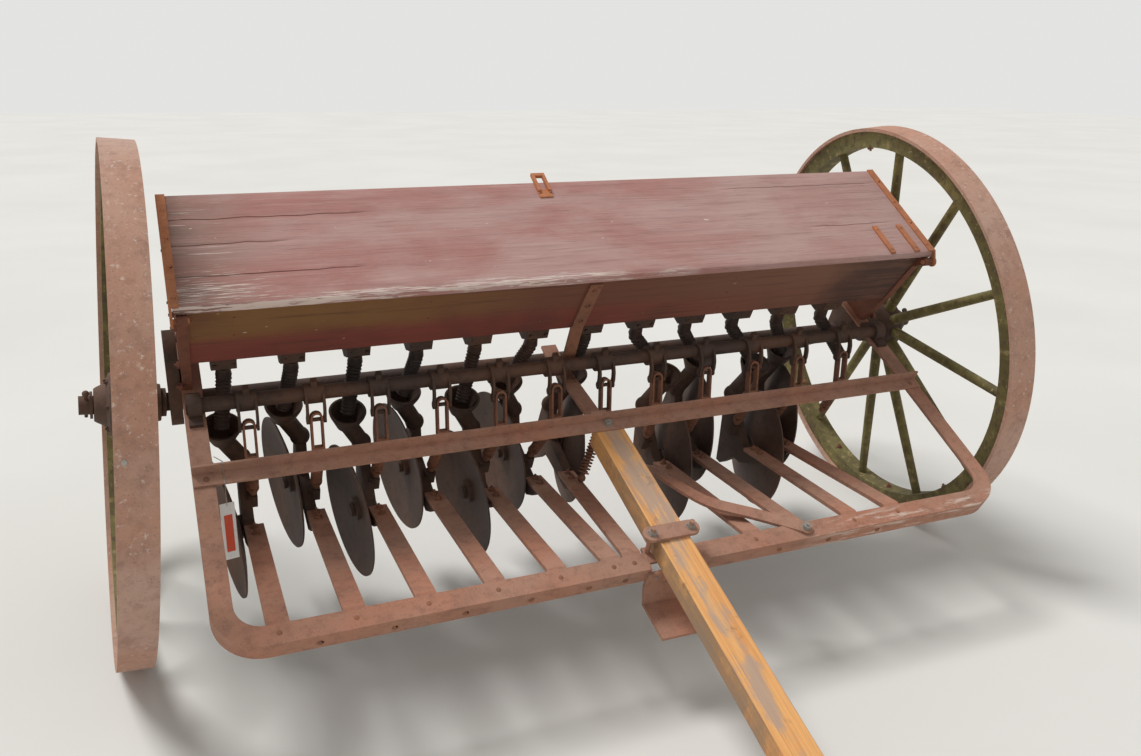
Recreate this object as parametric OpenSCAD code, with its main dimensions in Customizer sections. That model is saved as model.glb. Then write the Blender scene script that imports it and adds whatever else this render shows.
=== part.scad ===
// Horse-drawn grain drill with twelve single-disc openers, standing nose-down on its wheels and tongue.
// Everything but the wheels is laid out in the frame's own axes, with the wheel centres at the
// origin, X across to the right, Y to the rear and Z up, and is then pitched as the drill parks.

/* [Stance] */
// Nose-down angle that the frame parks at
park_pitch = 29; // [26:0.5:33]
// Inward lean of the wheel tops on their worn hubs
wheel_lean = 6; // [2:0.5:8]

/* [Wheels] */
// Outside radius of the iron tyre
wheel_r = 609.6; // [590:1:630]
// Width of the tyre
tyre_w = 76; // [60:1:90]
// Thickness of the tyre
tyre_t = 10; // [6:0.5:14]
// Distance from the middle of the drill to the wheel's middle plane
wheel_x = 1108; // [1100:1:1130]
// Depth of the wooden felloe
felloe_d = 48; // [36:1:60]
// Width of the wooden felloe
felloe_w = 54; // [40:1:58]
// Number of spokes
spoke_count = 12; // [10:1:12]
// Spoke radius at the hub
spoke_r_hub = 16; // [12:0.5:17]
// Spoke radius at the felloe
spoke_r_rim = 13; // [10:0.5:15]
// Radius of the hub where the spokes enter
hub_r = 76; // [72:1:84]
// Length of the hub inside the wheel's middle plane
hub_in = 82; // [70:1:84]
// Length of the hub outside the wheel's middle plane
hub_out = 62; // [50:1:70]
// Radius of the axle and its spindles
axle_r = 22; // [19:0.5:24]
// Radial running clearance between spindle and hub, and at the lid's pins
fit = 0.06; // [0.02:0.01:0.1]

/* [Frame] */
// Half width over the side rails
rail_x = 978; // [970:1:990]
// Height of the rail tops over the wheel centres
rail_z = 84; // [76:1:92]
// Distance from the axle to the front bar
front_y = 755; // [735:1:780]
// Leg width of the frame's angle iron
angle_w = 45; // [40:1:50]
// Thickness of the frame's angle iron
angle_t = 6; // [4:0.5:8]
// Outside radius of the frame's front corners
corner_r = 100; // [80:1:120]
// Half of the gap in the front bar, where the tongue passes
front_gap = 57; // [55:1:70]
// Distance from the axle to the back of the cross angle
cross_y = 312; // [300:1:330]
// Leg width of the cross angle
cross_w = 38; // [32:1:44]

/* [Tongue] */
// Width of the tongue
tongue_w = 76; // [66:1:84]
// Depth of the tongue
tongue_d = 54; // [48:1:58]
// Upward slope of the tongue against the frame
tongue_rise = 7.5; // [6:0.5:9]
// Width of the hitch straps
hitch_w = 60; // [50:1:70]
// Radius of the hitch pin's hole
hitch_hole_r = 11; // [8:0.5:14]

/* [Grain box] */
// Half length over the box ends
box_x = 975; // [960:1:975]
// Thickness of the box ends
end_t = 22; // [16:1:26]
// Thickness of the box boards and the lid
board_t = 20; // [14:1:22]
// Depth of the lid from front to back
lid_w = 351; // [340:1:360]
// Height of the lid's lower front edge over the wheel centres
lid_z = 397; // [380:1:420]
// Rearward rise of the lid
lid_tilt = 4; // [0:0.5:6]
// Height of the box's underside over the wheel centres
box_z = 205; // [195:1:215]

/* [Openers] */
// Distance between drill rows
row_pitch = 152.4; // [150:0.1:153]
// Diameter of the opener discs
disc_d = 343; // [320:1:350]
// Thickness of the opener discs
disc_t = 4; // [3:0.5:5]
// Depth of the discs' dish
disc_dish = 25; // [15:1:27]
// Angle of the discs to the direction of travel
disc_turn = 9; // [6:0.5:10]
// Radius of the disc bearing's pin
disc_pin_r = 10; // [8:0.5:12]
// Width of the drag bars
drag_w = 45; // [36:1:48]
// Thickness of the drag bars
drag_t = 10; // [6:0.5:12]
// Fall of the drag bars to the rear
drag_fall = 30; // [28:0.5:32]

/* [Seed and lift gear] */
// Radius of the rock shaft
rock_r = 17.5; // [14:0.5:20]
// Outside radius of the seed tubes
tube_r = 19; // [15:0.5:21]
// Radius of the feed shaft
feed_r = 8; // [6:0.5:10]

/* [Hidden] */
$fn = 48;
seat = 0.3;
lid_gap = 1;

// Stance: the wheel centres' height that sets the leaning tyres on the floor, and the drill's middle in Y
lean_z = sin(wheel_lean) * cos(park_pitch);
lean_y = sin(wheel_lean) * sin(park_pitch);
axle_h = wheel_r * sqrt(1 - pow(lean_z, 2)) + tyre_w / 2 * lean_z;
rear_reach = wheel_r * sqrt(1 - pow(lean_y, 2)) + tyre_w / 2 * lean_y;

// Tongue: it runs forward from under the cross angle until its hitch strap meets the floor
hitch_t = 8;
hitch_reach = 60;
tongue_y = cross_y + 26;
tongue_z = rail_z - seat - (cross_w - 26) * tan(tongue_rise) - tongue_d / cos(tongue_rise);
tongue_fall = park_pitch - tongue_rise;
tongue_foot = axle_h - tongue_y * sin(park_pitch) + tongue_z * cos(park_pitch);
tongue_reach = (tongue_foot - hitch_t * cos(tongue_fall)) / sin(tongue_fall);
tongue_l = tongue_reach - hitch_reach;
front_reach = tongue_y * cos(park_pitch) + tongue_z * sin(park_pitch)
            + tongue_reach * cos(tongue_fall)
            + (tongue_d + hitch_t) * sin(tongue_fall);
mid_y = (front_reach - rear_reach) / 2;

// Axle: the spindles lean with the wheels from a bend just inside each hub
spindle_in = hub_in + 6;
spindle_out = hub_out + 32;
bend_x = wheel_x - spindle_in * cos(wheel_lean);
axle_z = -spindle_in * sin(wheel_lean);
felloe_r = wheel_r - tyre_t;
spoke_out = felloe_r - felloe_d;

// Box section, as points of Y and Z
lid_y = -147;
front_foot = [-95, box_z];
rear_foot = [150, box_z];
front_head = -137;
rear_head = 195;
hinge = [lid_y - 11, lid_z - 7];
hinge_pin_r = 6;
end_in = box_x - end_t;
lid_x = box_x + 6;

// Rows: the rock shaft's arms keep the row pitch, the openers hang a little off it, and the last one is gone
row_count = 12;
opener_count = 11;
ball_r = 11;
rock = [-128, 103];
link_pin = [-176, 62];
link_pin_r = 5;
disc_x = -62;
arm_x0 = disc_x + 41;
arm_x1 = arm_x0 + 26;
disc_z = -215;
drag_bend = -700;
drag_front = -743;
feed = [-5, 166];
cup_shift = -45;
cup_out_y = -66;
cup_out_z = 118;
funnel_x = disc_x + 15;
funnel_r = 46;
neck_r = 22;

// Openers from left to right: columns are the boot's X, the drag bar's X at its foot, and the rank: 0 is in front,
// 1 behind, and 2 behind with its link's foot on the drag bar, in front of its disc
OPENERS = [[-852, -856, 0], [-703, -707, 1], [-556, -560, 0], [-406, -410, 1], [-262, -268, 0], [-129, -142, 1],
           [-34, -92, 2], [239, 226, 0], [365, 349, 1], [534, 507, 0], [649, 640, 1]];

// Ranks: columns are the disc's Y, the drag bar's end Y, the funnel's Y and the link foot's Y and Z
RANKS = [[-250, -290, -112, -205, -138],
         [-130, -262, -66, -195, -160],
         [-130, -262, -66, -330, drag_top(-330) + (ball_r + seat) / cos(drag_fall)]];

function side(i) = i < row_count / 2 ? -1 : 1;
function row_x(i) = (i - (row_count - 1) / 2) * row_pitch;
function opener_x(i) = i < opener_count ? OPENERS[i][0] : row_x(i);
function rank(i) = RANKS[i < opener_count ? OPENERS[i][2] : 0];
function link_x(i) = row_x(i) + (side(i) < 0 ? -5 : -17);
function lid_under(y) = lid_z + (y - lid_y) * tan(lid_tilt);
function drag_top(y) = rail_z - angle_t + (drag_bend - y) * tan(drag_fall);
function drag_mid(y) = drag_top(y) - drag_t / 2 / cos(drag_fall);
function drag_under(y) = drag_top(y) - drag_t / cos(drag_fall);

// Outline of a bar of thickness t that follows a path, with mitred bends
function unit(v) = v / norm(v);
function across_of(v) = [-v[1], v[0]];
function turn_at(p, i) =
    let (a = across_of(unit(i > 0 ? p[i] - p[i - 1] : p[1] - p[0])),
         b = across_of(unit(i < len(p) - 1 ? p[i + 1] - p[i] : p[i] - p[i - 1])))
    (a + b) / (1 + a * b);
function strip(p, t) = concat([for (i = [0:len(p) - 1]) p[i] + turn_at(p, i) * t / 2],
                              [for (i = [len(p) - 1:-1:0]) p[i] - turn_at(p, i) * t / 2]);

module parked() translate([0, mid_y, axle_h]) rotate([park_pitch, 0, 0]) children();

// An outline in Y and Z, drawn out from x0 to x1
module side_plate(x0, x1) translate([x0, 0, 0]) rotate([90, 0, 90]) linear_extrude(x1 - x0) children();

// A round bar along X
module cross_bar(y, z, r, x0, x1) translate([x0, y, z]) rotate([0, 90, 0]) cylinder(h = x1 - x0, r = r);

// A round bar between two points
module rod(p, q, r) {
    d = q - p;
    translate(p) rotate([0, acos(d[2] / norm(d)), atan2(d[1], d[0])]) cylinder(h = norm(d), r = r);
}

// Places a left-hand piece on the left, or mirrors it to the right
module on_side(s) if (s < 0) children(); else mirror([1, 0, 0]) children();

// An opener's own place: X towards the middle of the drill
module at_opener(i) translate([opener_x(i), 0, 0]) on_side(side(i)) children();

// FRAME
// Plan of a side rail, bent round into its half of the front bar, set in from the outside by i
module rail_plan(i, over) {
    r = corner_r - i;
    x0 = -rail_x + i;
    y0 = -front_y + i;
    x1 = -front_gap + over;
    y1 = 150 + over;
    translate([x0 + r, y0]) square([x1 - x0 - r, y1 - y0]);
    translate([x0, y0 + r]) square([r + 1, y1 - y0 - r]);
    translate([x0 + r, y0 + r]) circle(r, $fn = 96);
}

module rail_strip(w) difference() {
    rail_plan(0, 0);
    rail_plan(w, 1);
}

module half_frame() {
    translate([0, 0, rail_z - angle_t]) linear_extrude(angle_t) rail_strip(angle_w);
    translate([0, 0, rail_z - angle_w]) linear_extrude(angle_w) rail_strip(angle_t);
}

module frame_rails() color("#9a6248") parked() {
    half_frame();
    mirror([1, 0, 0]) half_frame();
}

module cross_angle() color("#a86a4c") parked() {
    translate([-rail_x, -cross_y - cross_w, rail_z]) cube([2 * rail_x, cross_w, 5]);
    translate([-rail_x, -cross_y - 5, rail_z]) cube([2 * rail_x, 5, 30]);
}

// Flat bar from the axle's top to the back of the cross angle
centre_x = -23;
centre_w = 42;
centre_t = 8;
axle_top = axle_z + axle_r;
CENTRE_PATH = [[30, axle_top + seat + centre_t / 2], [-34, axle_top + seat + centre_t / 2],
               [-cross_y + 26, rail_z - 4], [-cross_y + centre_t / 2, rail_z + 4],
               [-cross_y + centre_t / 2, rail_z + 28]];

module centre_rail() color("#8a5a44") parked()
    side_plate(centre_x - centre_w / 2, centre_x + centre_w / 2) polygon(strip(CENTRE_PATH, centre_t));

// Twisted strap from a bolt on top of the front bar's right half down to the end of one drag bar
twist_t = 7;
twist_w = 34;
TWIST = [[364, -729, rail_z + twist_t / 2], [318, -692, rail_z + twist_t / 2], [164, -575, 52], [144, -470, -8], [166, -400, -70], [197.5, -300, -158]];

module twisted_strap() color("#96604a") parked() {
    translate([TWIST[0][0], TWIST[0][1], rail_z]) cylinder(h = twist_t + 1, r = twist_w / 2 + 2);
    for (k = [0:len(TWIST) - 2]) twist_leg(TWIST[k], TWIST[k + 1]);
}

module twist_leg(p, q) {
    d = q - p;
    l = norm(d);
    translate(p) rotate([0, 0, atan2(d[1], d[0])]) rotate([0, -asin(d[2] / l), 0])
        translate([-5, -twist_w / 2, -twist_t / 2]) cube([l + 9, twist_w, twist_t]);
}

// TONGUE
// The tongue's own place: Y to the rear along its underside, Z up square to it
module on_tongue() translate([0, -tongue_y, tongue_z]) rotate([-tongue_rise, 0, 0]) children();

clamp_y = -714;
clamp_w = 42;
clamp_half = 58;
clamp_t = 8;
clamp_bolt_x = 49;
clamp_bolt_r = 6;

module clamp_under(gap) translate([-clamp_half, clamp_y - clamp_w / 2 - gap, rail_z - angle_t - clamp_t])
    cube([2 * clamp_half, clamp_w + 2 * gap, clamp_t + gap]);

module tongue() color("#d9a05a") parked() difference() {
    on_tongue() translate([-tongue_w / 2, -tongue_l, 0]) cube([tongue_w, tongue_l, tongue_d]);
    clamp_under(seat);
}

// Round-ended plate over the tongue, bolted through to a plate under the front bar's flanges
module tongue_clamp() color("#8c5a45") parked() {
    at = (clamp_y + tongue_y) / cos(tongue_rise) + 8;
    clamp_under(0);
    on_tongue() translate([0, at, tongue_d + seat]) {
        linear_extrude(clamp_t) {
            square([2 * clamp_bolt_x, clamp_w], center = true);
            for (s = [-1, 1]) translate([s * clamp_bolt_x, 0]) circle(clamp_w / 2);
        }
    }
    for (s = [-1, 1]) intersection() {
        on_tongue() translate([s * clamp_bolt_x, at, -20]) cylinder(h = tongue_d + 46, r = clamp_bolt_r);
        translate([-200, clamp_y - 40, rail_z - angle_t - clamp_t]) cube([400, 80, 200]);
    }
}

// Bent plate under the tongue, bolted across the gap in the front bar
BRACKET_PATH = [[-front_y - 4, rail_z - 10], [-front_y - 4, 24], [-front_y - 26, -18], [-front_y - 129, 0]];

module tongue_bracket() color("#7a4a38") parked()
    side_plate(-front_gap - 8, front_gap + 8) polygon(strip(BRACKET_PATH, 8));

// Two straps along the tongue's end, with the drawbar pin's hole
module tongue_hitch() color("#6b5148") parked() on_tongue() difference() {
    for (z = [-hitch_t, tongue_d]) translate([0, -tongue_reach, z]) linear_extrude(hitch_t) difference() {
        translate([-hitch_w / 2, 0]) square([hitch_w, 260]);
        translate([0, hitch_reach - 32]) circle(hitch_hole_r);
    }
}

// AXLE
module at_wheel(s) translate([s * wheel_x, 0, 0]) rotate([0, -s * wheel_lean, 0])
    if (s > 0) children(); else mirror([1, 0, 0]) children();

module axle() color("#4a4340") parked() {
    cross_bar(0, axle_z, axle_r, -bend_x, bend_x);
    for (s = [-1, 1]) at_wheel(s) {
        cross_bar(0, 0, axle_r, -spindle_in, spindle_out);
        cross_bar(0, 0, axle_r + 12, -spindle_in - 6, -spindle_in + 4);
        cross_bar(0, 0, axle_r + 10, hub_out + 2, hub_out + 8);
        translate([hub_out + 16, 0, -38]) cylinder(h = 76, r = 4);
        translate([hub_out + 16, 0, 38]) sphere(r = 8);
    }
}

// Bearing casting that carries the axle inside a side rail
bracket_w = 40;
bracket_h = rail_z - angle_t;

module axle_brackets() color("#5a4a42") parked() for (s = [-1, 1]) on_side(s) difference() {
    side_plate(-rail_x + angle_t + seat, -rail_x + angle_t + seat + bracket_w) {
        translate([0, axle_z]) circle(axle_r + 16);
        translate([-52, bracket_h - 14]) square([104, 14]);
        polygon([[-axle_r - 16, axle_z], [axle_r + 16, axle_z], [46, bracket_h - 10], [-46, bracket_h - 10]]);
    }
    cross_bar(0, axle_z, axle_r + seat, -rail_x - 1, -rail_x + 100);
}

// GRAIN BOX
function under_lid(y) = [y, lid_under(y) - lid_gap];
function along(p, q, z) = p[0] + (q[0] - p[0]) * (z - p[1]) / (q[1] - p[1]);
FRONT = [front_foot, under_lid(front_head), under_lid(front_head + board_t), front_foot + [board_t, 0]];
REAR = [rear_foot, under_lid(rear_head), under_lid(rear_head - board_t), rear_foot - [board_t, 0]];

module box_front() color("#7d3b30") parked() side_plate(-end_in, end_in) polygon(FRONT);

module box_rear() color("#7d3b30") parked() side_plate(-end_in, end_in) polygon(REAR);

// Bottom board, with a feed hole over each cup
module box_bottom() color("#6d4a38") parked() difference() {
    side_plate(-end_in, end_in) polygon([FRONT[3], REAR[3],
        [along(REAR[3], REAR[2], box_z + board_t), box_z + board_t],
        [along(FRONT[3], FRONT[2], box_z + board_t), box_z + board_t]]);
    for (i = [0:row_count - 1]) translate([row_x(i) + cup_shift, -30, box_z - 1]) cylinder(h = board_t + 2, r = 16);
}

// Cast box end, standing on the side rail, with the ear of the lid's hinge
module box_ends() color("#6a3a30") parked() for (s = [-1, 1]) on_side(s) difference() {
    side_plate(-box_x, -end_in) {
        polygon([under_lid(front_head - 4), front_foot - [4, 0], [-58, rail_z],
                 [108, rail_z], rear_foot + [4, 0], under_lid(rear_head + 4)]);
        translate(hinge) circle(10.5);
        polygon([hinge + [0, -10.5], hinge + [30, -40], hinge + [30, 2], hinge + [4, 2]]);
    }
    cross_bar(hinge[0], hinge[1], hinge_pin_r + fit, -box_x - 1, -end_in + 1);
}

// Flat strap up the middle of the front board from the centre rail
strap_x0 = -43;
strap_x1 = -9;

module box_brace() color("#5a4038") parked()
    side_plate(strap_x0, strap_x1) polygon(strip([
        [along(FRONT[0], FRONT[1], lid_z - 12) - 3.3, lid_z - 12], [front_foot[0] - 3.3, box_z], [front_foot[0] - 3.3, 52],
        [front_foot[0] - 20, centre_top(front_foot[0] - 20) + 3.3], [front_foot[0] - 46, centre_top(front_foot[0] - 46) + 3.3]], 6));

function centre_top(y) = let (a = CENTRE_PATH[1], b = CENTRE_PATH[2])
    a[1] + (b[1] - a[1]) * (y - a[0]) / (b[0] - a[0]) + centre_t / 2 / cos(atan((b[1] - a[1]) / (b[0] - a[0])));

module lid() color("#8f5a50") parked() side_plate(-lid_x, lid_x)
    polygon([[lid_y, lid_under(lid_y)], [lid_y + lid_w, lid_under(lid_y + lid_w)],
             [lid_y + lid_w, lid_under(lid_y + lid_w) + board_t], [lid_y, lid_under(lid_y) + board_t]]);

// Irons on the lid's ends with its hinge pins, battens at the right front corner and the hasp at the rear
module lid_iron(s) on_side(s) {
    side_plate(-lid_x - 6, -lid_x) {
        polygon([[lid_y - 2, lid_under(lid_y - 2)], [lid_y + lid_w, lid_under(lid_y + lid_w)],
                 [lid_y + lid_w, lid_under(lid_y + lid_w) + board_t + 4], [lid_y - 2, lid_under(lid_y - 2) + board_t + 4]]);
        translate(hinge) circle(14);
        polygon([hinge + [-14, 0], hinge + [0, -14], [lid_y, lid_under(lid_y)], [lid_y, lid_under(lid_y) + board_t + 4]]);
    }
    side_plate(-lid_x - 6, -lid_x + 14)
        polygon([[lid_y, lid_under(lid_y) + board_t], [lid_y + lid_w, lid_under(lid_y + lid_w) + board_t],
                 [lid_y + lid_w, lid_under(lid_y + lid_w) + board_t + 4], [lid_y, lid_under(lid_y) + board_t + 4]]);
    cross_bar(hinge[0], hinge[1], hinge_pin_r, -lid_x - 6, -end_in + 4);
}

// A flat piece on the lid, by its X range and its Y range
module on_lid(x0, x1, y0, y1, t) side_plate(x0, x1)
    polygon([[y0, lid_under(y0) + board_t], [y1, lid_under(y1) + board_t],
             [y1, lid_under(y1) + board_t + t], [y0, lid_under(y0) + board_t + t]]);

module lid_irons() color("#8a5a48") parked() {
    for (s = [-1, 1]) lid_iron(s);
    for (x = [838, 920]) on_lid(x, x + 16, lid_y + 4, lid_y + 110, 5);
    hasp_y = lid_y + lid_w;
    on_lid(-88, -52, hasp_y - 60, hasp_y - 30, 3);
    for (x = [-88, -60]) on_lid(x, x + 8, hasp_y - 40, hasp_y + 26, 9);
    on_lid(-88, -52, hasp_y + 16, hasp_y + 26, 9);
}

// SEED GEAR
module feed_cups() color("#3a3230") parked() for (i = [0:row_count - 1]) translate([row_x(i) + cup_shift, 0, 0])
    difference() {
        union() {
            side_plate(-28, 28) polygon([[-72, box_z], [24, box_z], [24, box_z - 30], [4, box_z - 66],
                                         [-52, box_z - 66], [-84, box_z - 40], [-84, box_z - 12]]);
            translate([0, cup_out_y + 14, cup_out_z]) cylinder(h = box_z - 60 - cup_out_z, r = tube_r - 3);
            cross_bar(feed[0], feed[1], 24, -34, 34);
        }
        cross_bar(feed[0], feed[1], feed_r + seat, -40, 40);
        translate([0, -30, box_z - 22]) cylinder(h = 30, r = 16);
    }

module feed_shaft() color("#504844") parked() cross_bar(feed[0], feed[1], feed_r, -end_in + seat, end_in - seat);

// Oblong casing of the feed drive, between the left rail and the left hub
cover_x0 = -bend_x + 14;

module gear_cover() color("#4c4038") parked() difference() {
    side_plate(cover_x0, -rail_x - seat) {
        translate([0, axle_z]) circle(58);
        translate(feed) circle(46);
        polygon([[-58, axle_z], [58, axle_z], [feed[0] + 46, feed[1]], [feed[0] - 46, feed[1]]]);
    }
    cross_bar(0, axle_z, axle_r + 1, cover_x0 - 1, -rail_x + 1);
}

// A seed tube in a row's own place: down from its cup, then slanting into the boot's funnel
module tube_shape(i, r) {
    top = [row_x(i) + cup_shift, cup_out_y + 14, box_z - 66];
    knee = [top[0], top[1], cup_out_z - 8];
    foot = [opener_x(i) + side(i) * -funnel_x, rank(i)[2], -3];
    rod(knee, top, r);
    translate(knee) sphere(r = r + 1);
    rod(knee, foot, r);
}

module seed_tubes() color("#33302e") parked() for (i = [0:row_count - 1]) difference() {
    tube_shape(i, tube_r);
    tube_shape_bore(i);
}

module tube_shape_bore(i) {
    top = [row_x(i) + cup_shift, cup_out_y + 14, box_z - 66];
    knee = [top[0], top[1], cup_out_z - 8];
    foot = [opener_x(i) + side(i) * -funnel_x, rank(i)[2], -3];
    r = tube_r - 2.5;
    rod(knee, top + [0, 0, 1], r);
    translate(knee) sphere(r = r + 0.6);
    rod(knee, foot + unit(foot - knee) * 5, r);
}

// LIFT GEAR
arm_t = 6;
arm_gap = 17;

ARM_PATH = concat([[rock[0] + 12, rock[1] + 16]],
    [for (a = [90:-18:0]) [rock[0] + (link_pin[0] - rock[0]) * cos(a), link_pin[1] + (rock[1] + 16 - link_pin[1]) * sin(a)]]);

module rock_arm() {
    cross_bar(rock[0], rock[1], rock_r + 8, -arm_gap - arm_t, arm_gap + arm_t);
    translate([-7, rock[0] - 7, rock[1] + 20]) cube([14, 14, 24]);
    for (x = [-arm_gap - arm_t, arm_gap]) side_plate(x, x + arm_t) {
        polygon(strip(ARM_PATH, 14));
        translate(link_pin) circle(10);
    }
    cross_bar(link_pin[0], link_pin[1], link_pin_r, -arm_gap - arm_t, arm_gap + arm_t);
}

module rock_shaft() color("#4a3c36") parked() {
    cross_bar(rock[0], rock[1], rock_r, -rail_x + 4, rail_x - 4);
    for (i = [0:row_count - 1]) translate([link_x(i), 0, 0]) rock_arm();
}

// Pillow blocks on the side rails, with the shaft's bore
module rock_brackets() color("#54443c") parked() for (s = [-1, 1]) on_side(s) difference() {
    side_plate(-rail_x + 8, -rail_x + 38) {
        intersection() {
            translate(rock) circle(rock_r + 10);
            translate([rock[0] - 40, rail_z]) square([80, 80]);
        }
        translate([rock[0] - 50, rail_z]) square([100, 9]);
    }
    cross_bar(rock[0], rock[1], rock_r + seat, -rail_x, -rail_x + 60);
}

// Upside-down U link on the arm's pin, its rod with the ribbed spring, and the ball at its foot
link_l = 82;
link_w = 15;
function bow(r, z0, z1) = concat([[-r, z0]], [for (a = [180:-15:0]) [r * cos(a), z1 + r * sin(a)]], [[r, z0]]);
spring_r = 15;
spring_gap = 18;
spring_top = 30;
plumb = [0, -sin(park_pitch), -cos(park_pitch)];
function seat_x(i) = max(-9, min(12, (link_x(i) - opener_x(i)) * -side(i)));
function link_top(i) = [link_x(i), link_pin[0], link_pin[1]];
function link_foot(i) = [opener_x(i) - side(i) * seat_x(i), rank(i)[3], rank(i)[4]];
function knee(i) = link_top(i) + plumb * link_l;
function rod_way(i) = unit(link_foot(i) - knee(i));

// Turns Z along the pressure rod of row i, at distance d below its knee
module on_rod(i, d) translate(knee(i) + rod_way(i) * d)
    rotate([0, acos(rod_way(i)[2]), atan2(rod_way(i)[1], rod_way(i)[0])]) children();

module pressure_link(i) {
    pin = link_top(i);
    foot = link_foot(i);
    l = norm(foot - knee(i));
    translate(pin) rotate([-park_pitch, 0, 0]) difference() {
        rotate([90, 0, 0]) translate([0, 0, -10]) linear_extrude(20) polygon(bow(link_w, -link_l - 8, 4));
        rotate([90, 0, 0]) translate([0, 0, -11]) linear_extrude(22) polygon(bow(link_w - 5, -link_l + 14, 4));
        cross_bar(0, 0, link_pin_r + seat, -link_w - 1, link_w + 1);
    }
    on_rod(i, 0) cylinder(h = l, r = 6);
    on_rod(i, l - spring_gap) cylinder(h = 4, r = spring_r);
    translate(foot) sphere(r = ball_r);
}

module pressure_links() color("#7c5444") parked() for (i = [0:row_count - 1]) pressure_link(i);

// Coiled springs round the rods, standing on their collars
module pressure_springs() color("#6a4638") parked() for (i = [0:row_count - 1]) on_rod(i, spring_top) {
    l = norm(link_foot(i) - knee(i)) - spring_top - spring_gap;
    n = floor(l / 11);
    p = l / n;
    rotate_extrude() polygon(concat([[6 + seat, 0], [9, 0]],
        [for (k = [0:n - 1]) for (q = [[9, 0.1], [spring_r, 0.35], [spring_r, 0.65], [9, 0.9]]) [q[0], (k + q[1]) * p]],
        [[9, l], [6 + seat, l]]));
}

// OPENERS
// A drag bar's turn in plan, and the height of its underside over a point of its opener's own place
function slant(i) = atan((OPENERS[i][0] - OPENERS[i][1]) / (drag_front - rank(i)[1]));
function bar_under(i, x, y) =
    drag_under(rank(i)[1] + side(i) * x * sin(slant(i)) + (y - rank(i)[1]) * cos(slant(i)));
function boot_top(i, y) = min(bar_under(i, arm_x0, y), bar_under(i, arm_x1, y)) - seat;

// Flat bar, bolted under the front bar's flange and bent down to the boot
module drag_bars() color("#9a664e") parked() for (i = [0:opener_count - 1]) {
    y1 = rank(i)[1];
    z0 = rail_z - angle_t - drag_t / 2;
    translate([opener_x(i), y1, 0]) rotate([0, 0, slant(i)]) translate([0, -y1, 0]) side_plate(-drag_w / 2, drag_w / 2)
        polygon(strip([[drag_front, z0], [drag_bend - drag_t / 2 * tan(drag_fall / 2), z0], [y1, drag_mid(y1)]], drag_t));
}

// The turned bearing of a disc: X along its pin, towards the middle of the drill
module at_disc(i) translate([disc_x, rank(i)[0], disc_z]) rotate([0, 0, disc_turn]) children();

boss_x = disc_dish + disc_t + 7;
nut_x = disc_dish - 15;

// Cast boot: arm from the drag bar, seat of the pressure link, boss and pin of the disc, shank and funnel
module boot(i) {
    k = rank(i);
    y = k[0];
    e = k[1] + 2;
    pad = k[1] - 64;
    neck_y = k[2] - 4;
    neck = [(arm_x0 + arm_x1) / 2, neck_y, -112];
    difference() {
        union() {
            side_plate(arm_x0, arm_x1) {
                polygon([[pad, boot_top(i, pad)], [e, boot_top(i, e)], [e + 8, disc_z + 34], [y + 20, disc_z + 30],
                         [y + 34, disc_z], [y + 8, disc_z - 36], [y - 26, disc_z - 26],
                         [k[1] - 24, drag_under(e) - 30], [pad + 6, drag_under(pad) - 30]]);
                polygon([[y - 4, disc_z + 32], [neck_y - 20, neck[2]], [neck_y + 20, neck[2]],
                         [y + 84, disc_z - 70], [y + 66, disc_z - 118], [y + 46, disc_z - 112], [y + 2, disc_z - 35]]);
            }
            at_disc(i) cross_bar(0, 0, 26, boss_x, boss_x + 16);
            translate(neck) sphere(r = neck_r + 3);
            rod([funnel_x, k[2], -38], neck, neck_r);
            translate([funnel_x, k[2], -44]) rotate_extrude()
                polygon([[0, 0], [neck_r + 4, 0], [funnel_r - 2, 42], [funnel_r, 50], [0, 50]]);
            lug_x = min(seat_x(i) - 10, -6);
            if (k[3] > k[1]) translate([lug_x, k[3] - 10, k[4] - ball_r - seat - 40])
                cube([seat_x(i) + 10 - lug_x, 20, 40]);
        }
        translate([funnel_x, k[2], -36]) rotate_extrude()
            polygon([[0, 0], [neck_r - 3, 0], [funnel_r - 6, 36], [funnel_r - 5, 50], [0, 50]]);
    }
    at_disc(i) cross_bar(0, 0, disc_pin_r, nut_x, boss_x + 4);
    at_disc(i) cross_bar(0, 0, disc_pin_r + 8, nut_x - 8, nut_x + 1);
}

module boots() color("#3c302b") parked() for (i = [0:opener_count - 1]) at_opener(i) boot(i);

// Dished disc with its hub plate, running on the boot's pin
dish_r = (pow(disc_d / 2, 2) + pow(disc_dish, 2)) / (2 * disc_dish);

module disc(i) color("#5d4a40") parked() at_opener(i) at_disc(i) rotate([0, 90, 0]) difference() {
    union() {
        intersection() {
            translate([0, 0, disc_dish + disc_t - dish_r]) difference() {
                sphere(r = dish_r, $fn = 96);
                sphere(r = dish_r - disc_t, $fn = 96);
            }
            cylinder(h = disc_dish + disc_t + 1, r = disc_d / 2, $fn = 96);
        }
        translate([0, 0, disc_dish - 1]) cylinder(h = disc_t + 3, r = 38);
        translate([0, 0, disc_dish - 12]) cylinder(h = 16, r = 30);
    }
    translate([0, 0, -20]) cylinder(h = 80, r = disc_pin_r + fit);
}

// WHEELS
// A ring round the wheel's axis, outward along X
module ring(r0, r1, x0, x1) rotate([0, 90, 0]) rotate_extrude($fn = 128) translate([r0, x0]) square([r1 - r0, x1 - x0]);

module tyre(s) color("#9c6a54") parked() at_wheel(s) ring(felloe_r, wheel_r, -tyre_w / 2, tyre_w / 2);

module felloe(s) color("#5c5228") parked() at_wheel(s) ring(spoke_out, felloe_r, -felloe_w / 2, felloe_w / 2);

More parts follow.
